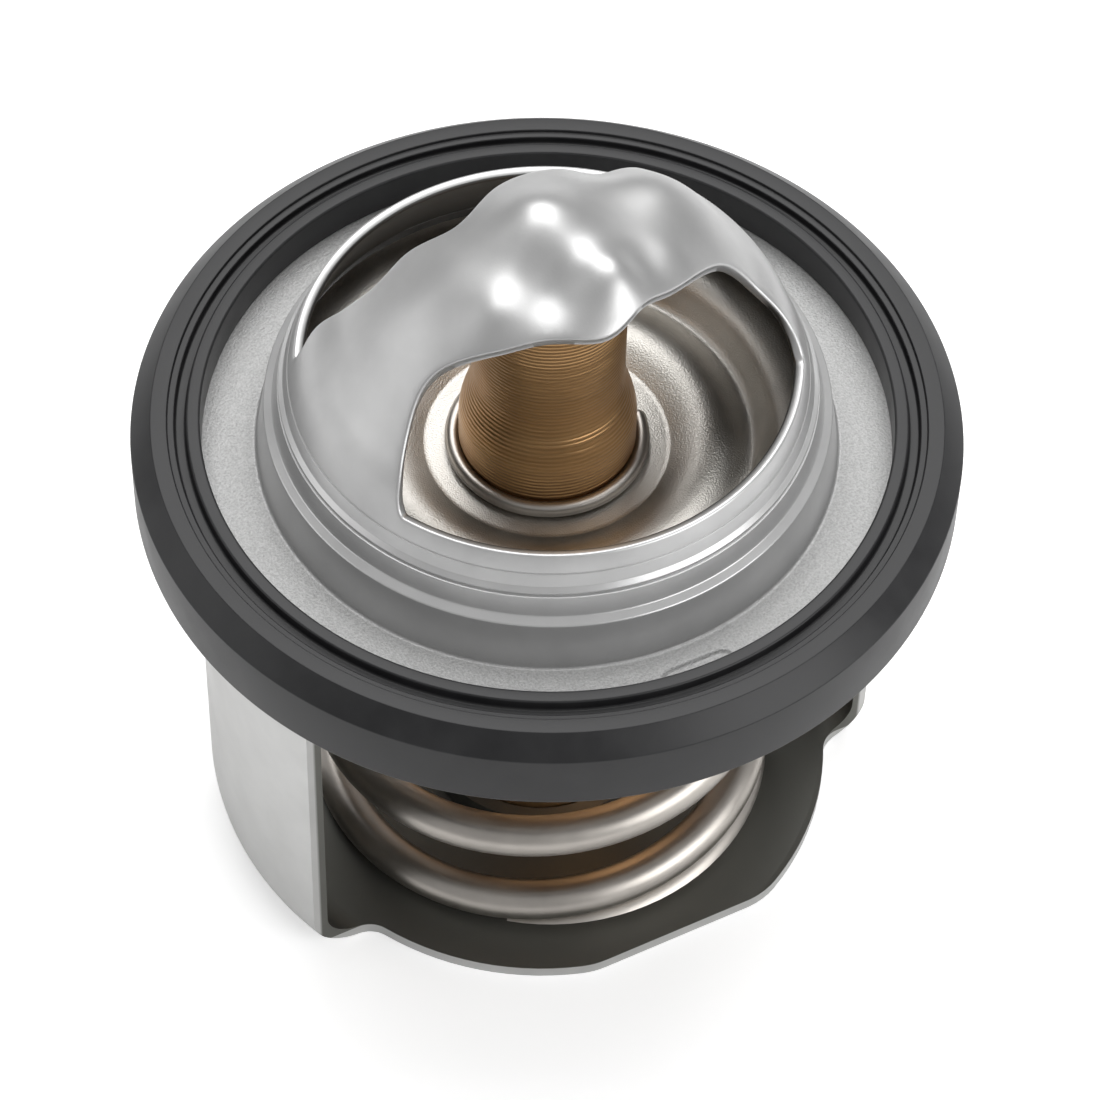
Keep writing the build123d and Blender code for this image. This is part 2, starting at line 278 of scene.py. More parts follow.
def loop_sides(loop):
    """Unit vectors to the right of a closed loop of points."""
    ahead = np.roll(loop, -1, axis=0) - np.roll(loop, 1, axis=0)
    ahead /= np.hypot(*ahead.T)[:, None]
    return np.stack([ahead[:, 1], -ahead[:, 0]], -1)


def inside(points, loop):
    """Which points lie inside a closed loop."""
    hits = np.zeros(len(points), bool)
    x, y = points.T
    for (ax, ay), (bx, by) in zip(loop, np.roll(loop, -1, axis=0)):
        if ay == by:
            continue
        across = (ay > y) != (by > y)
        hits ^= across & (x < ax + (y - ay) * (bx - ax) / (by - ay))
    return hits


def filled(outer, holes, spacing):
    """Triangles that fill a loop apart from its holes, and the number of points on the loops."""
    rings = [outer, *holes]
    edge_points = np.concatenate(rings)
    edges = []
    first = 0
    for ring in rings:
        count = len(ring)
        edges += [(first + i, first + (i + 1) % count) for i in range(count)]
        first += count
    low = outer.min(0)
    high = outer.max(0)
    row = spacing * math.sqrt(3) / 2
    ys = np.arange(low[1], high[1], row)
    grid = []
    for i, y in enumerate(ys):
        xs = np.arange(low[0] + (i % 2) * spacing / 2, high[0], spacing)
        grid.append(np.stack([xs, np.full_like(xs, y)], -1))
    grid = np.concatenate(grid)
    keep = inside(grid, outer)
    for hole in holes:
        keep &= ~inside(grid, hole)
    grid = grid[keep]
    clear = np.full(len(grid), np.inf)
    for spot in edge_points:
        clear = np.minimum(clear, np.hypot(grid[:, 0] - spot[0], grid[:, 1] - spot[1]))
    grid = grid[clear > 0.6 * spacing]
    points = np.concatenate([edge_points, grid])
    result = delaunay_2d_cdt([Vector(p) for p in points], edges, [], 0, 1e-7)
    spots = np.array([tuple(v) for v in result[0]])
    faces = np.array(result[2])
    middles = spots[faces].mean(1)
    good = inside(middles, outer)
    for hole in holes:
        good &= ~inside(middles, hole)
    return spots, faces[good].tolist()


# Meshes


class Shape:
    """Points and faces gathered from several patches, welded where they meet."""

    def __init__(self):
        self.points = []
        self.faces = []

    def add(self, points, faces):
        first = len(self.points)
        self.points += [tuple(p) for p in np.asarray(points, float)]
        self.faces += [tuple(first + i for i in face) for face in faces]

    def rows(self, rows, closed=False):
        """Quads between rows of equally many points; closed joins each row's ends."""
        rows = [np.asarray(r, float) for r in rows]
        size = len(rows[0])
        faces = []
        for i in range(len(rows) - 1):
            for j in range(size if closed else size - 1):
                k = (j + 1) % size
                faces.append((i * size + j, i * size + k, (i + 1) * size + k, (i + 1) * size + j))
        self.add(np.concatenate(rows), faces)


def piece(name, shape, body, material, node, sharp=40):
    """A mesh piece, in millimetres, that stands for a CAD node and rides on its body."""
    mesh = bpy.data.meshes.new(name)
    mesh.from_pydata((np.asarray(shape.points) * MM).tolist(), [], shape.faces)
    work = bmesh.new()
    work.from_mesh(mesh)
    bmesh.ops.remove_doubles(work, verts=work.verts, dist=2e-6)
    bmesh.ops.dissolve_degenerate(work, edges=work.edges, dist=1e-7)
    bmesh.ops.recalc_face_normals(work, faces=work.faces)
    work.to_mesh(mesh)
    work.free()
    mesh.shade_smooth()
    mesh.set_sharp_from_angle(angle=math.radians(sharp))
    mesh.materials.append(material)
    obj = bpy.data.objects.new(name, mesh)
    bpy.context.scene.collection.objects.link(obj)
    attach(obj, body)
    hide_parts(node)
    return obj


def rounded(corners, steps=5, closed=True):
    """Profile points from corners of (radius, height, fillet)."""
    points = []
    for i, (radius, height, size) in enumerate(corners):
        here = Vector((radius, height))
        if size == 0 or (not closed and i in (0, len(corners) - 1)):
            points.append((radius, height))
            continue
        back = Vector(corners[i - 1][:2]) - here
        ahead = Vector(corners[(i + 1) % len(corners)][:2]) - here
        half = back.angle(ahead) / 2
        cut = min(size / math.tan(half), 0.48 * back.length, 0.48 * ahead.length)
        back.normalize()
        ahead.normalize()
        centre = here + (back + ahead).normalized() * cut / math.cos(half)
        start = here + back * cut - centre
        end = here + ahead * cut - centre
        turn = math.pi - 2 * half
        for k in range(steps + 1):
            share = k / steps
            part = start * math.sin((1 - share) * turn) + end * math.sin(share * turn)
            spot = centre + part / math.sin(turn)
            points.append((spot.x, spot.y))
    return points


def ring_rows(profile, angles):
    """Rows of points, one ring for each (radius, height) of a profile."""
    angles = np.asarray(angles)
    across, along = np.cos(angles), np.sin(angles)
    return [np.stack([r * across, r * along, np.full_like(angles, z)], -1) for r, z in profile]


def turned(profile, count=288, closed=True):
    """A shape turned round the axis from a profile."""
    shape = Shape()
    rows = ring_rows(profile, np.linspace(0, 2 * math.pi, count, endpoint=False))
    shape.rows(rows + rows[:1] if closed else rows, closed=True)
    return shape


def rounded_edge(top, top_normals, bottom, bottom_normals, sides, size, steps=4):
    """Rows over a cut edge, from the upper face's last row round to the lower face's."""
    rows = []
    turns = np.linspace(0, math.pi / 2, steps + 1)
    for turn in turns:
        out = sides * size * math.sin(turn)
        rows.append(top + out - top_normals * size * (1 - math.cos(turn)))
    for turn in turns[::-1]:
        out = sides * size * math.sin(turn)
        rows.append(bottom + out + bottom_normals * size * (1 - math.cos(turn)))
    return rows


# Materials


def new_material(name, colour, metallic, roughness):
    """A Principled material and the few nodes that its texture needs."""
    material = bpy.data.materials.new(name)
    material.use_nodes = True
    nodes = material.node_tree.nodes
    links = material.node_tree.links
    shader = nodes["Principled BSDF"]
    shader.inputs["Base Color"].default_value = (*colour, 1)
    shader.inputs["Metallic"].default_value = metallic
    shader.inputs["Roughness"].default_value = roughness
    place = nodes.new("ShaderNodeTexCoord")
    scale = nodes.new("ShaderNodeVectorMath")
    scale.operation = "SCALE"
    scale.inputs["Scale"].default_value = 1 / MM
    links.new(place.outputs["Object"], scale.inputs[0])
    return material, nodes, links, shader, scale.outputs["Vector"]


def noise(nodes, links, place, scale, detail=3.0, stretch=None):
    """A noise texture, its scale in features per millimetre."""
    if stretch:
        mapping = nodes.new("ShaderNodeMapping")
        mapping.inputs["Scale"].default_value = stretch
        links.new(place, mapping.inputs["Vector"])
        place = mapping.outputs["Vector"]
    texture = nodes.new("ShaderNodeTexNoise")
    texture.inputs["Scale"].default_value = scale
    texture.inputs["Detail"].default_value = detail
    links.new(place, texture.inputs["Vector"])
    return texture.outputs["Fac"]


def ranged(nodes, links, value, low, high, start=0.3, end=0.7):
    """A texture value mapped from start..end to low..high."""
    mapping = nodes.new("ShaderNodeMapRange")
    mapping.inputs["From Min"].default_value = start
    mapping.inputs["From Max"].default_value = end
    mapping.inputs["To Min"].default_value = low
    mapping.inputs["To Max"].default_value = high
    links.new(value, mapping.inputs["Value"])
    return mapping.outputs["Result"]


def tinted(nodes, links, value, dark, light):
    """A colour that goes from dark to light with a texture value."""
    mix = nodes.new("ShaderNodeMix")
    mix.data_type = "RGBA"
    mix.inputs[6].default_value = (*dark, 1)
    mix.inputs[7].default_value = (*light, 1)
    links.new(value, mix.inputs["Factor"])
    return mix.outputs[2]


def bumped(nodes, links, shader, height, strength, distance):
    """Relief from a texture value, its depth in millimetres."""
    bump = nodes.new("ShaderNodeBump")
    bump.inputs["Strength"].default_value = strength
    bump.inputs["Distance"].default_value = distance * MM
    links.new(height, bump.inputs["Height"])
    links.new(bump.outputs["Normal"], shader.inputs["Normal"])


def sheet_material(name, dark, light, rough, grain, depth, spread=0.12):
    """Pressed sheet: fine grain in its relief, cloudy colour and gloss."""
    material, nodes, links, shader, place = new_material(name, light, 1.0, rough)
    cloud = noise(nodes, links, place, 0.25, 4.0)
    fine = noise(nodes, links, place, grain, 2.0)
    colour = tinted(nodes, links, ranged(nodes, links, cloud, 0, 1), dark, light)
    links.new(colour, shader.inputs["Base Color"])
    gloss = ranged(nodes, links, cloud, rough * (1 - spread), rough * (1 + spread))
    links.new(gloss, shader.inputs["Roughness"])
    bumped(nodes, links, shader, fine, 0.5, depth)
    return material


def radius_of(nodes, links, place):
    """Distance from the axis, in millimetres."""
    flat = nodes.new("ShaderNodeVectorMath")
    flat.operation = "MULTIPLY"
    flat.inputs[1].default_value = (1, 1, 0)
    links.new(place, flat.inputs[0])
    length = nodes.new("ShaderNodeVectorMath")
    length.operation = "LENGTH"
    links.new(flat.outputs["Vector"], length.inputs[0])
    return length.outputs["Value"]


def axis_facing(nodes, links, place):
    """How far a face looks away from the axis: 1 outward, -1 inward."""
    flat = nodes.new("ShaderNodeVectorMath")
    flat.operation = "MULTIPLY"
    flat.inputs[1].default_value = (1, 1, 0)
    links.new(place, flat.inputs[0])
    outward = nodes.new("ShaderNodeVectorMath")
    outward.operation = "NORMALIZE"
    links.new(flat.outputs["Vector"], outward.inputs[0])
    surface = nodes.new("ShaderNodeNewGeometry")
    dot = nodes.new("ShaderNodeVectorMath")
    dot.operation = "DOT_PRODUCT"
    links.new(outward.outputs["Vector"], dot.inputs[0])
    links.new(surface.outputs["Normal"], dot.inputs[1])
    return dot.outputs["Value"]


def part_of(nodes, links, vector, axis):
    """One component of a vector."""
    split = nodes.new("ShaderNodeSeparateXYZ")
    links.new(vector, split.inputs["Vector"])
    return split.outputs[axis]


def both(nodes, links, first, second):
    """The product of two texture values."""
    math_node = nodes.new("ShaderNodeMath")
    math_node.operation = "MULTIPLY"
    links.new(first, math_node.inputs[0])
    links.new(second, math_node.inputs[1])
    return math_node.outputs["Value"]


def shaded(nodes, links, colour, amount, dark):
    """A colour that goes over to a darker one by an amount."""
    mix = nodes.new("ShaderNodeMix")
    mix.data_type = "RGBA"
    links.new(amount, mix.inputs["Factor"])
    links.new(colour, mix.inputs[6])
    mix.inputs[7].default_value = (*dark, 1)
    return mix.outputs[2]


def frame_material():
    """Pressed steel, bright outside and on its cut edges; inside it is rougher and painted dark as
    painted shade.
    """
    grey = (0.55, 0.55, 0.54)
    material, nodes, links, shader, place = new_material("frame_steel", grey, 0.9, 0.38)
    cloud = noise(nodes, links, place, 0.2, 4.0)
    fine = noise(nodes, links, place, 7.0, 2.0)
    radius = radius_of(nodes, links, place)
    height = part_of(nodes, links, place, "Z")
    within = ranged(nodes, links, radius, 1, 0, LEG_RADIUS - 0.6, LEG_RADIUS - 0.4)
    above = ranged(nodes, links, height, 0, 1, FRAME_SHEET - 0.06, FRAME_SHEET - 0.02)
    # Painted shade: inside the legs, the plate's upper face and the legs' inner faces are painted
    # a dark grey below.
    inner = both(nodes, links, within, above)
    cloudy = ranged(nodes, links, cloud, 0, 1)
    colour = tinted(nodes, links, cloudy, (0.6, 0.6, 0.59), (0.67, 0.67, 0.66))
    colour = shaded(nodes, links, colour, inner, (0.17, 0.17, 0.155))
    links.new(colour, shader.inputs["Base Color"])
    links.new(ranged(nodes, links, inner, 0.36, 0.5, 0, 1), shader.inputs["Roughness"])
    bumped(nodes, links, shader, fine, 0.4, 0.012)
    return material


def housing_material():
    """Pressed steel: grainy on the flat flange, drawn smooth on the collar and the bridge, with
    painted shade on its inward faces.
    """
    grey = (0.6, 0.6, 0.6)
    material, nodes, links, shader, place = new_material("housing_steel", grey, 0.85, 0.3)
    cloud = noise(nodes, links, place, 0.22, 4.0)
    fine = noise(nodes, links, place, 6.5, 3.0)
    radius = radius_of(nodes, links, place)
    flange = ranged(nodes, links, radius, 0, 1, COLLAR_RADIUS - 0.1, COLLAR_RADIUS + 0.4)
    facing = ranged(nodes, links, axis_facing(nodes, links, place), 1, 0, -0.5, -0.3)
    shade_reach = ranged(nodes, links, radius, 0, 1, INNER_SHADE_FROM, INNER_SHADE_FROM + 0.5)
    cloudy = ranged(nodes, links, cloud, 0, 1)
    colour = tinted(nodes, links, cloudy, (0.52, 0.52, 0.52), (0.6, 0.6, 0.598))
    # Painted shade: inward-looking faces out towards the collar are painted near black below.
    inner = both(nodes, links, facing, shade_reach)
    speckles = ranged(nodes, links, fine, 0, 1)
    speckle = tinted(nodes, links, speckles, (0.36, 0.36, 0.357), (0.5, 0.5, 0.497))
    mix = nodes.new("ShaderNodeMix")
    mix.data_type = "RGBA"
    links.new(flange, mix.inputs["Factor"])
    links.new(colour, mix.inputs[6])
    links.new(speckle, mix.inputs[7])
    colour = shaded(nodes, links, mix.outputs[2], inner, (0.1, 0.1, 0.097))
    links.new(colour, shader.inputs["Base Color"])
    collar = ranged(nodes, links, radius, 0, 1, RIM_RADIUS - 0.6, RIM_RADIUS + 0.4)
    links.new(ranged(nodes, links, collar, 0.94, 0.58, 0, 1), shader.inputs["Metallic"])
    gloss = nodes.new("ShaderNodeMix")
    gloss.data_type = "FLOAT"
    links.new(flange, gloss.inputs["Factor"])
    drawn = ranged(nodes, links, collar, 0.42, 0.29, 0, 1)
    links.new(drawn, gloss.inputs["A"])
    gloss.inputs["B"].default_value = 0.55
    links.new(gloss.outputs["Result"], shader.inputs["Roughness"])
    bump = nodes.new("ShaderNodeBump")
    bump.inputs["Distance"].default_value = 0.07 * MM
    links.new(ranged(nodes, links, flange, 0.06, 0.8, 0, 1), bump.inputs["Strength"])
    links.new(fine, bump.inputs["Height"])
    links.new(bump.outputs["Normal"], shader.inputs["Normal"])
    return material


def rubber_material():
    """Satin black moulded rubber with a faint bloom."""
    black = (0.05, 0.05, 0.05)
    material, nodes, links, shader, place = new_material("seal_rubber", black, 0.0, 0.42)
    cloud = noise(nodes, links, place, 0.35, 4.0)
    fine = noise(nodes, links, place, 9.0, 2.0)
    cloudy = ranged(nodes, links, cloud, 0, 1)
    colour = tinted(nodes, links, cloudy, (0.012, 0.012, 0.013), (0.02, 0.02, 0.021))
    links.new(colour, shader.inputs["Base Color"])
    links.new(ranged(nodes, links, cloud, 0.33, 0.4), shader.inputs["Roughness"])
    shader.inputs["Specular IOR Level"].default_value = 0.36
    bumped(nodes, links, shader, fine, 0.3, 0.01)
    return material


def brass_material():
    """Brass with fine turned grooves round its axis."""
    brown = (0.4, 0.24, 0.11)
    material, nodes, links, shader, place = new_material("element_brass", brown, 0.9, 0.36)
    wave = nodes.new("ShaderNodeTexWave")
    wave.wave_type = "BANDS"
    wave.bands_direction = "Z"
    wave.inputs["Scale"].default_value = WAVE_PERIOD / GROOVE_PITCH
    wave.inputs["Distortion"].default_value = 1.0
    wave.inputs["Detail"].default_value = 2.0
    wave.inputs["Detail Scale"].default_value = 0.6
    links.new(place, wave.inputs["Vector"])
    coarse = noise(nodes, links, place, 1.0, 2.0, (0.12, 0.12, 2.2))
    cloud = noise(nodes, links, place, 0.5, 3.0)
    grooves = both(nodes, links, wave.outputs["Fac"], ranged(nodes, links, coarse, 0.45, 1.0))
    colour = tinted(nodes, links, grooves, (0.5, 0.29, 0.125), (0.68, 0.42, 0.2))
    links.new(colour, shader.inputs["Base Color"])
    links.new(ranged(nodes, links, cloud, 0.33, 0.4), shader.inputs["Roughness"])
    bumped(nodes, links, shader, grooves, 0.9, 0.05)
    return material


def cup_material():
    """Drawn brass cup, a little warmer than the turned brass."""
    brown = (0.6, 0.36, 0.19)
    material, nodes, links, shader, place = new_material("cup_brass", brown, 1.0, 0.32)
    cloud = noise(nodes, links, place, 0.4, 3.0)
    cloudy = ranged(nodes, links, cloud, 0, 1)
    colour = tinted(nodes, links, cloudy, (0.62, 0.36, 0.17), (0.74, 0.44, 0.22))
    links.new(colour, shader.inputs["Base Color"])
    links.new(ranged(nodes, links, cloud, 0.28, 0.36), shader.inputs["Roughness"])
    return material


HOUSING = housing_material()
FRAME = frame_material()
SPRING = sheet_material(
    "spring_steel", (0.47, 0.44, 0.405), (0.56, 0.525, 0.485), 0.37, 5.0, 0.008
)
VALVE = sheet_material(
    "valve_steel", (0.46, 0.442, 0.41), (0.58, 0.558, 0.523), 0.38, 8.0, 0.07
)
PISTON = sheet_material(
    "piston_steel", (0.55, 0.55, 0.55), (0.64, 0.64, 0.64), 0.2, 6.0, 0.002
)
RUBBER = rubber_material()
BRASS = brass_material()
CUP = cup_material()


# Upper housing


def crown_height(x, y):
    """Height of the pressed face over the flange: the collar's cone runs up into the dome."""
    radius = np.hypot(x, y)
    share = np.minimum(radius / CREASE_RADIUS, 1)
    dome = CREASE_RISE + (CROWN_RISE - CREASE_RISE) * (1 - share**2) ** CROWN_POWER
    slope = (CREASE_RISE - RIM_RISE) / (CREASE_RADIUS - RIM_RADIUS)
    cone = RIM_RISE + slope * (radius - RIM_RADIUS)
    rim_share = RIM_RADIUS / CREASE_RADIUS
    rim_dome = CREASE_RISE + (CROWN_RISE - CREASE_RISE) * (1 - rim_share**2) ** CROWN_POWER
    rim_slope = -2 * rim_share / CREASE_RADIUS * (CROWN_RISE - CREASE_RISE) * CROWN_POWER
    rim_slope *= (1 - rim_share**2) ** (CROWN_POWER - 1)
    width = RIM_RADIUS - SHOULDER_START
    t = np.clip((radius - SHOULDER_START) / width, 0, 1)
    shoulder = (RIM_RISE - rim_dome) * (3 * t**2 - 2 * t**3)
    shoulder = shoulder + width * (slope - rim_slope) * (t**3 - t**2)
    bumps = 0
    for bump_x, bump_y, size, spread in CROWN_BUMPS:
        bumps = bumps + size * np.exp(-((x - bump_x) ** 2 + (y - bump_y) ** 2) / spread**2)
    inner = dome + shoulder + bumps * (1 - (3 * t**2 - 2 * t**3))
    return np.where(radius < RIM_RADIUS, inner, cone)


def crown_points(flat):
    """Points and outward normals of the pressed face over flat points."""
    x, y = flat.T
    step = 0.005
    slope_x = (crown_height(x + step, y) - crown_height(x - step, y)) / (2 * step)
    slope_y = (crown_height(x, y + step) - crown_height(x, y - step)) / (2 * step)
    normals = np.stack([-slope_x, -slope_y, np.ones_like(x)], -1)
    normals /= np.linalg.norm(normals, axis=-1, keepdims=True)
    return np.stack([x, y, FLANGE_TOP + crown_height(x, y)], -1), normals


def window(curve, fillets, rim_radius, side):
    """Outline of a window between a bridge edge and the rim, front (-1) or back (1)."""
    inner = curve[np.hypot(*curve.T) < rim_radius]
    left = math.atan2(inner[0][1], inner[0][0])
    right = math.atan2(inner[-1][1], inner[-1][0])
    if side < 0:
        left = left % (2 * math.pi) - 2 * math.pi
    rim = arc((0, 0), rim_radius, right, left)
    return outline([inner, rim], (fillets[1], fillets[0]), WINDOW_STEP)


def housing_angles():
    """Angles round the axis, closer together over the dimple."""
    start, end = DIMPLE_TURN
    near = np.radians(np.arange(start, end, 0.3))
    far = np.radians(np.arange(end, start + 360, 1.0))
    return np.concatenate([near, far])


def dimple(rows, top):
    """Presses the oblong dimple into the rows of the flange's upper face."""
    half = (DIMPLE_LENGTH - DIMPLE_WIDTH) / 2
    for row in rows:
        x, y, z = row.T
        off_x = np.maximum(np.abs(x) - half, 0)
        gap = np.hypot(off_x, y + DIMPLE_CENTRE) - DIMPLE_WIDTH / 2
        share = np.clip(-gap / DIMPLE_SLOPE, 0, 1)
        drop = DIMPLE_DEPTH * (3 * share**2 - 2 * share**3)
        row[:, 2] = z - np.where(np.abs(z - top) < 1e-6, drop, 0)


def grooved(start, end, share, width, depth):
    """Corners of a fine groove across a straight stretch of a profile."""
    run = np.subtract(end, start)
    length = np.hypot(*run)
    inward = np.array([run[1], -run[0]]) / length
    middle = np.add(start, run * share)
    half = run / length * width / 2
    spots = (middle - half, middle + inward * depth, middle + half)
    return [(*spot, GROOVE_FILLET) for spot in spots]


def upper_housing():
    """The pressed sheet: flange and collar turned, the bridge over them cut out of one dome."""
    shape = Shape()
    angles = housing_angles()
    join = np.stack([JOIN_RADIUS * np.cos(angles), JOIN_RADIUS * np.sin(angles)], -1)
    windows = []
    cuts = []
    for name, points, side in (("front", BRIDGE_FRONT, -1), ("back", BRIDGE_BACK, 1)):
        loop = window(through(points), WINDOW_FILLETS[name], RIM_RADIUS, side)
        if np.sum(loop[:, 0] * np.roll(loop[:, 1], -1) - loop[:, 1] * np.roll(loop[:, 0], -1)) < 0:
            loop = loop[::-1]
        out = loop_sides(loop)
        windows.append(loop + out * EDGE_ROUND)
        cuts.append(-out)
    spots, faces = filled(join, windows, CROWN_SPACING)
    top, normals = crown_points(spots)
    bottom = top - normals * SHEET
    first = len(join)
    for loop, out in zip(windows, cuts):
        rows = slice(first, first + len(loop))
        first += len(loop)
        up = normals[rows]
        level = np.zeros((len(out), 1))
        sides = np.concatenate([out, level], -1)
        sides -= up * np.sum(sides * up, -1, keepdims=True)
        sides /= np.linalg.norm(sides, axis=-1, keepdims=True)
        near = np.hypot(*loop.T)
        share = np.clip((RIM_RADIUS - near) / BRIDGE_CUT_FADE, 0, 1)[:, None]
        drift = np.sum(up[:, :2] * out, -1, keepdims=True)
        shift = out * drift * SHEET * (1 - BRIDGE_CUT) * share
        bottom[rows] += np.concatenate([shift, level], -1)
        edge = rounded_edge(top[rows], up, bottom[rows], up, sides, EDGE_ROUND)
        shape.rows(edge, closed=True)
    shape.add(top, faces)
    shape.add(bottom, faces)
    join_top, join_normals = crown_points(join[:1])
    inner_radius = math.hypot(*(join_top - join_normals * SHEET)[0][:2])
    inner_height = (join_top - join_normals * SHEET)[0][2]
    lean = SHEET * math.hypot(1, (COLLAR_RADIUS - RIM_RADIUS) / RIM_RISE)
    rise = FLANGE_TOP
    steps = STEP_HALF
    crease = CREASE_STEP
    shelf = (CREASE_RADIUS + crease, rise + CREASE_RISE - crease)
    start = (JOIN_RADIUS, join_top[0][2])
    edge = (CREASE_RADIUS, rise + CREASE_RISE)
    ledge = (STEP_RADIUS - steps, rise + STEP_RISE)
    outer = rounded(
        [
            (*start, 0),
            *grooved(start, edge, *RIM_GROOVE),
            (*edge, 0.15),
            (*shelf, 0.08),
            *grooved(shelf, ledge, *SHELF_GROOVE),
            (*ledge, 0.18),
            (STEP_RADIUS + steps, rise + STEP_RISE - steps, 0.2),
            (COLLAR_RADIUS + 0.08, rise, 0.28),
            (COLLAR_RADIUS + 1.0, rise, 0),
        ],
        closed=False,
    )
    radii = np.arange(COLLAR_RADIUS + 1.1, SEAL_LIP_RADIUS + 0.3, FLANGE_STEP)
    flat = [(r, rise) for r in radii]
    under = rounded(
        [
            (flat[-1][0], rise, 0),
            (FLANGE_RADIUS, rise, 0.2),
            (FLANGE_RADIUS, FLANGE_BOTTOM, 0.2),
            (COLLAR_RADIUS - lean, FLANGE_BOTTOM, 0.3),
            (COLLAR_RADIUS - lean, rise, 0.4),
            (VALVE_RIM_RADIUS + VALVE_CLEAR, rise + VALVE_RIM_RISE + 0.5, 0.2),
            (STEP_RADIUS - steps - lean, rise + STEP_RISE, 0.2),
            (CREASE_RADIUS - lean, rise + CREASE_RISE, 0.3),
            (inner_radius, inner_height, 0),
        ],
        closed=False,
    )
    rows = ring_rows(outer + flat[:-1] + under, angles)
    dimple(rows, rise)
    shape.rows(rows, closed=True)
    return shape


piece("housing_sheet", upper_housing(), "housing", HOUSING, "upper_housing", 50)


# Flange seal


def flange_seal():
    """Moulded ring: lip, groove, ledge, ridge, bevel and wall."""
    inner = LEG_RADIUS + LEG_SEAL_GAP
    return turned(
        rounded(
            [
                (inner, SEAL_BOTTOM, 0.3),
                (inner, FLANGE_BOTTOM - SEAL_FIT, 0),
                (FLANGE_RADIUS + SEAL_FIT, FLANGE_BOTTOM - SEAL_FIT, 0),
                (FLANGE_RADIUS + SEAL_FIT, FLANGE_TOP + SEAL_FIT, 0),
                (SEAL_LIP_RADIUS, FLANGE_TOP + SEAL_FIT, 0.1),
                (SEAL_LIP_RADIUS, SEAL_TOP, 0.22),
                (SEAL_LIP_RADIUS + SEAL_LIP_WIDTH, SEAL_TOP, 0.18),
                (SEAL_LIP_RADIUS + SEAL_LIP_WIDTH, SEAL_TOP - SEAL_GROOVE, 0.2),
                (SEAL_LEDGE_RADIUS, SEAL_TOP - SEAL_GROOVE, 0.2),
                (SEAL_LEDGE_RADIUS, SEAL_TOP - SEAL_LEDGE, 0.12),
                (SEAL_RIDGE_RADIUS, SEAL_TOP - SEAL_LEDGE, 0.08),
                (SEAL_RIDGE_RADIUS, SEAL_TOP, 0.1),
                (SEAL_RADIUS - SEAL_BEVEL, SEAL_TOP, 0.15),
                (SEAL_RADIUS, SEAL_TOP - SEAL_BEVEL, 0.2),
                (SEAL_RADIUS, SEAL_BOTTOM + SEAL_EDGE, 0.3),
                (SEAL_RADIUS - SEAL_EDGE, SEAL_BOTTOM, 0.3),
            ]
        ),
        360,
    )


piece("seal_ring", flange_seal(), "housing", RUBBER, "flange_seal")


# Main spring


def coil_rise(turn, active):
    """Height of the wire's centre line over the lower seat after some turns from the tip."""
    closed_pitch = (WIRE - SPRING_TIP) / CLOSED_TURNS
    rise = SPRING_TIP - WIRE / 2 + closed_pitch * np.minimum(turn, CLOSED_TURNS)
    rise = rise + SPRING_PITCH * np.clip(turn - CLOSED_TURNS, 0, active)
    return rise + closed_pitch * np.maximum(turn - CLOSED_TURNS - active, 0)


def main_spring(low, seat, per_turn=90, around=32):
    """Round wire coil, its closed end turns ground flat on their seats."""
    active = (seat - low - WIRE) / SPRING_PITCH
    turns = active + 2 * CLOSED_TURNS
    turn = np.linspace(0, turns, int(turns * per_turn))
    rise = coil_rise(turn, active)
    smooth = np.ones(13) / 13
    rise[6:-6] = np.convolve(rise, smooth, "valid")
    angle = np.radians(SPRING_TIP_ANGLE + 360 * turn)
    rows = []
    for a, z in zip(angle, low + rise):
        spin = np.linspace(0, 2 * math.pi, around, endpoint=False)
        off = WIRE / 2 * np.cos(spin)
        up = WIRE / 2 * np.sin(spin)
        for seat_up, sign in ((low - z, 1), (seat - z, -1)):
            cut = (up - seat_up) * sign < 0
            chord = math.sqrt(max((WIRE / 2) ** 2 - seat_up**2, 0))
            off = np.where(cut, np.clip(off, -chord, chord), off)
            up = np.where(cut, seat_up, up)
        radius = SPRING_RADIUS + off
        rows.append(np.stack([radius * math.cos(a), radius * math.sin(a), z + up], -1))
    shape = Shape()
    shape.rows(rows, closed=True)
    for row in (rows[0], rows[-1]):
        shape.add(row, [tuple(range(around))])
    return shape


spring_low = FRAME_SHEET + SPRING_FIT
spring_seat = FLANGE_TOP + VALVE_WAVES[2][1] - PLATE_SHEET - SPRING_FIT
spring = piece(
    "spring_coil",
    main_spring(spring_low, spring_seat),
    "housing",
    SPRING,
    "main_spring",
)
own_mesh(spring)


# Valve plate


def valve_plate():
    """Corrugated disc: hub, swell, ridges and a turned-up rim."""
    upper = [(HUB_FLAT_RADIUS, HUB_RISE), *VALVE_WAVES, (VALVE_RIM_RADIUS, VALVE_RIM_RISE)]
    waves = through(upper, 0.12)
    waves = waves[waves[:, 0] >= HUB_FLAT_RADIUS]
    ahead = np.gradient(waves, axis=0)
    ahead /= np.hypot(*ahead.T)[:, None]
    below = waves + PLATE_SHEET * np.stack([ahead[:, 1], -ahead[:, 0]], -1)
    hub = BARREL_RADIUS + HUB_FIT
    low = HUB_RISE - PLATE_SHEET
    hub_top = [(hub, HUB_RISE - 0.15), (hub + 0.15, HUB_RISE), (HUB_FLAT_RADIUS - 0.3, HUB_RISE)]
    top = [*hub_top, *waves]
    bottom = [*below[::-1], (HUB_FLAT_RADIUS - 0.1, low), (hub, low)]
    return turned([(r, FLANGE_TOP + z) for r, z in top + bottom])


piece("valve_disc", valve_plate(), "valve", VALVE, "valve_plate")


# Wax element

ELEMENT_TOP = HUB_BOTTOM - CAPSULE_WALL - SEAL_FIT
GUIDE_LOW = ELEMENT_TOP - ELEMENT_HEIGHT
GROOVE_RADIUS = BARREL_RADIUS - RING_GROOVE
RING_MIDDLE = HUB_TOP + RING_WIRE / 2 + SEAL_FIT


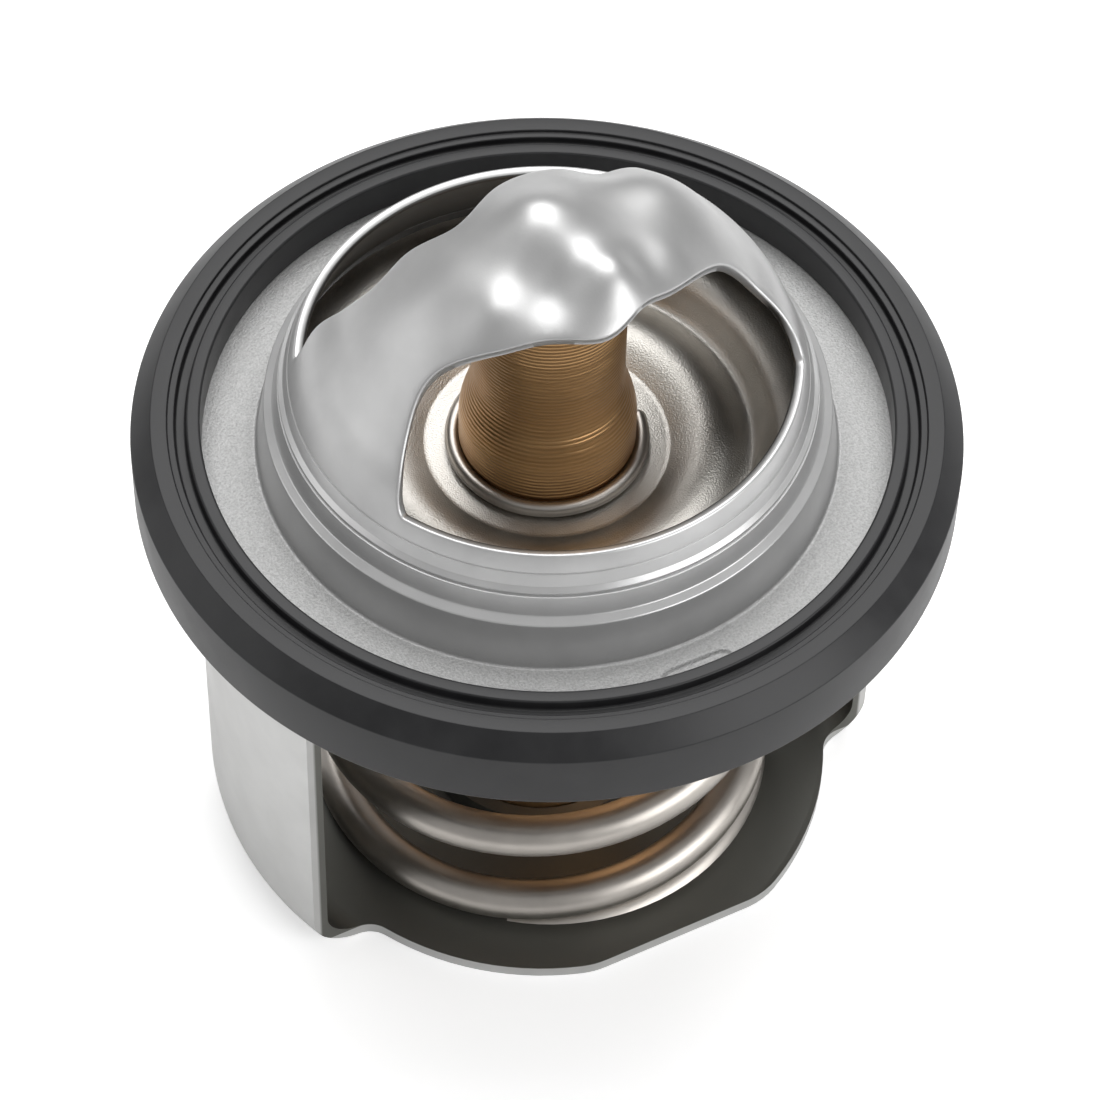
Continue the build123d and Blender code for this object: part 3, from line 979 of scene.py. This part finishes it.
def guide_body():
    """Turned brass neck and barrel with a soft flare between them."""
    neck_top = FLANGE_TOP + NECK_RISE
    low = FLANGE_TOP + BARREL_RISE
    height = NECK_FOOT_RISE - BARREL_RISE
    shares = np.linspace(0, 1, 24)
    ease = 3 * shares**2 - 2 * shares**3
    narrowing = NECK_RADIUS - BARREL_RADIUS
    flare = [(BARREL_RADIUS + narrowing * e, low + height * t) for e, t in zip(ease, shares)]
    profile = rounded(
        [
            (BORE_RADIUS, neck_top, 0.1),
            (BORE_RADIUS, GUIDE_LOW, 0.1),
            (ELEMENT_RADIUS, GUIDE_LOW, 0.1),
            (ELEMENT_RADIUS, ELEMENT_TOP, 0.1),
            (BARREL_RADIUS, ELEMENT_TOP, 0.05),
            (BARREL_RADIUS, RING_MIDDLE - RING_WIRE / 2, 0.05),
            (GROOVE_RADIUS, RING_MIDDLE - RING_WIRE / 2, 0.05),
            (GROOVE_RADIUS, RING_MIDDLE + RING_WIRE / 2, 0.05),
            (BARREL_RADIUS, RING_MIDDLE + RING_WIRE / 2, 0.05),
            (BARREL_RADIUS, low - 0.3, 0),
        ]
    )
    top = rounded(
        [
            (NECK_RADIUS, neck_top - 2, 0),
            (NECK_RADIUS, neck_top, NECK_CHAMFER),
            (BORE_RADIUS, neck_top, 0),
        ]
    )
    return turned(profile + flare + top[:-1], 180)


def snap_ring():
    """Open wire ring, its ends rounded off."""
    start = RING_GAP_CENTRE + RING_GAP / 2
    angles = np.radians(np.linspace(start, start + 360 - RING_GAP, 150))
    middle = GROOVE_RADIUS + RING_WIRE / 2 + SEAL_FIT
    half = RING_WIRE / 2
    spin = np.linspace(0, 2 * math.pi, 24, endpoint=False)
    caps = np.linspace(1.35, 0.2, 6)
    first, last = angles[0], angles[-1]
    stations = [(first - half * math.sin(t) / middle, half * math.cos(t)) for t in caps]
    stations += [(a, half) for a in angles]
    stations += [(last + half * math.sin(t) / middle, half * math.cos(t)) for t in caps[::-1]]
    rows = []
    for a, size in stations:
        radius = middle + size * np.cos(spin)
        height = RING_MIDDLE + size * np.sin(spin)
        rows.append(np.stack([radius * math.cos(a), radius * math.sin(a), height], -1))
    shape = Shape()
    shape.rows(rows, closed=True)
    for row in (rows[0], rows[-1]):
        shape.add(row, [tuple(range(len(spin)))])
    return shape


def wax_capsule():
    """Drawn cup, its mouth rolled over the guide body's flange."""
    ledge = GUIDE_LOW - CAPSULE_WALL
    outer = ELEMENT_RADIUS + SEAL_FIT + CAPSULE_WALL
    return turned(
        rounded(
            [
                (0.01, CAPSULE_LIFT, 0),
                (CAPSULE_RADIUS, CAPSULE_LIFT, CAPSULE_FILLET),
                (CAPSULE_RADIUS, ledge - 1.0, 0.4),
                (outer, ledge - 0.5, 0.4),
                (outer, HUB_BOTTOM - SEAL_FIT / 2, 0.35),
                (CAPSULE_LIP, HUB_BOTTOM - SEAL_FIT / 2, 0.15),
                (CAPSULE_LIP, ELEMENT_TOP + SEAL_FIT / 2, 0.1),
                (outer - CAPSULE_WALL, ELEMENT_TOP + SEAL_FIT / 2, 0.1),
                (outer - CAPSULE_WALL, ledge, 0.2),
                (CAPSULE_RADIUS - CAPSULE_WALL, ledge, 0.2),
                (CAPSULE_RADIUS - CAPSULE_WALL, CAPSULE_LIFT + CAPSULE_WALL, 1.0),
                (0.01, CAPSULE_LIFT + CAPSULE_WALL, 0),
            ]
        ),
        180,
    )


piece("brass_guide", guide_body(), "valve", BRASS, "guide_body")
piece("wire_ring", snap_ring(), "valve", SPRING, "snap_ring")
piece("brass_cup", wax_capsule(), "valve", CUP, "wax_capsule")

for node, finish in {
    "upper_housing": HOUSING,
    "flange_seal": RUBBER,
    "lower_frame": FRAME,
    "main_spring": SPRING,
    "piston": PISTON,
    "valve_plate": VALVE,
    "guide_body": BRASS,
    "snap_ring": SPRING,
    "wax_capsule": CUP,
    "rubber_boot": RUBBER,
    "wax_charge": BRASS,
}.items():
    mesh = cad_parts[node].data
    mesh.materials.clear()
    mesh.materials.append(finish)


# Camera, at the photograph's angle

AZIMUTH = math.radians(-28.09)
ELEVATION = math.radians(52.247)
ROLL = math.radians(1.598)
PIXELS = 1100
FOCAL_PIXELS = 4500
SENSOR = 36
DISTANCE = 312.36
AIM_RISE = 2.675
AIM_PIXEL = (547.8, 409.9)


def add_camera():
    """Perspective view, aimed so that the seal's centre falls on its pixel."""
    data = bpy.data.cameras.new("camera")
    data.sensor_width = SENSOR
    data.lens = SENSOR * FOCAL_PIXELS / PIXELS
    data.clip_start = 0.01
    data.clip_end = 10
    camera = bpy.data.objects.new("camera", data)
    bpy.context.scene.collection.objects.link(camera)
    level = math.cos(ELEVATION)
    back = Vector((math.sin(AZIMUTH) * level, -math.cos(AZIMUTH) * level, math.sin(ELEVATION)))
    right = Vector((math.cos(AZIMUTH), math.sin(AZIMUTH), 0))
    up = back.cross(right)
    across = right * math.cos(ROLL) + up * math.sin(ROLL)
    upward = up * math.cos(ROLL) - right * math.sin(ROLL)
    aim = Vector((0, 0, FLANGE_TOP + AIM_RISE))
    off_x = (AIM_PIXEL[0] - PIXELS / 2) / FOCAL_PIXELS
    off_y = (AIM_PIXEL[1] - PIXELS / 2) / FOCAL_PIXELS
    place = (aim - (across * off_x - upward * off_y - back) * DISTANCE) * MM
    turn = Matrix((across, upward, back)).transposed().to_4x4()
    camera.matrix_world = Matrix.Translation(place) @ turn
    bpy.context.scene.camera = camera


add_camera()


# Floor, light and background

FLOOR_GREY = 0.93
FLOOR_HALF = 3.0
FLOOR_LIFT = 0.42
WORLD_STRENGTH = 0.4
LAMP_AIM_HEIGHT = 0.04


def add_floor():
    """A wide pale floor that keeps the shadow, lifted towards white for the camera alone."""
    mesh = bpy.data.meshes.new("floor")
    signs = ((-1, -1), (1, -1), (1, 1), (-1, 1))
    mesh.from_pydata([(x * FLOOR_HALF, y * FLOOR_HALF, 0) for x, y in signs], [], [(0, 1, 2, 3)])
    floor = bpy.data.objects.new("floor", mesh)
    bpy.context.scene.collection.objects.link(floor)
    material = bpy.data.materials.new("floor_white")
    material.use_nodes = True
    nodes = material.node_tree.nodes
    links = material.node_tree.links
    shader = nodes["Principled BSDF"]
    shader.inputs["Base Color"].default_value = (FLOOR_GREY, FLOOR_GREY, FLOOR_GREY, 1)
    shader.inputs["Roughness"].default_value = 0.9
    shader.inputs["Emission Color"].default_value = (1, 1, 1, 1)
    ray = nodes.new("ShaderNodeLightPath")
    seen = ranged(nodes, links, ray.outputs["Is Camera Ray"], 0, FLOOR_LIFT, 0, 1)
    links.new(seen, shader.inputs["Emission Strength"])
    mesh.materials.append(material)


def add_lamp(name, azimuth, elevation, distance, size, energy):
    """A soft rectangular lamp that faces the object from a direction in degrees."""
    data = bpy.data.lights.new(name, "AREA")
    data.shape = "RECTANGLE"
    data.size = size[0]
    data.size_y = size[1]
    data.energy = energy
    lamp = bpy.data.objects.new(name, data)
    bpy.context.scene.collection.objects.link(lamp)
    a = math.radians(azimuth)
    e = math.radians(elevation)
    toward = Vector((math.sin(a) * math.cos(e), -math.cos(a) * math.cos(e), math.sin(e)))
    lamp.location = Vector((0, 0, LAMP_AIM_HEIGHT)) + toward * distance
    lamp.rotation_mode = "QUATERNION"
    lamp.rotation_quaternion = toward.to_track_quat("Z", "Y")


def add_world():
    """Plain studio surroundings, white where the camera looks."""
    world = bpy.data.worlds.new("studio")
    bpy.context.scene.world = world
    world.use_nodes = True
    nodes = world.node_tree.nodes
    links = world.node_tree.links
    shade = nodes["Background"]
    shade.inputs["Color"].default_value = (1, 1, 1, 1)
    ray = nodes.new("ShaderNodeLightPath")
    strength = ranged(nodes, links, ray.outputs["Is Camera Ray"], WORLD_STRENGTH, 1, 0, 1)
    links.new(strength, shade.inputs["Strength"])


add_floor()
add_world()
add_lamp("back_top", 150, 66, 0.6, (0.6, 0.6), 3.4)
add_lamp("left", -115, 20, 0.9, (0.7, 0.5), 1.0)
add_lamp("front", 28, 25, 0.8, (0.6, 0.5), 3.0)
bpy.context.scene.view_settings.view_transform = "Standard"
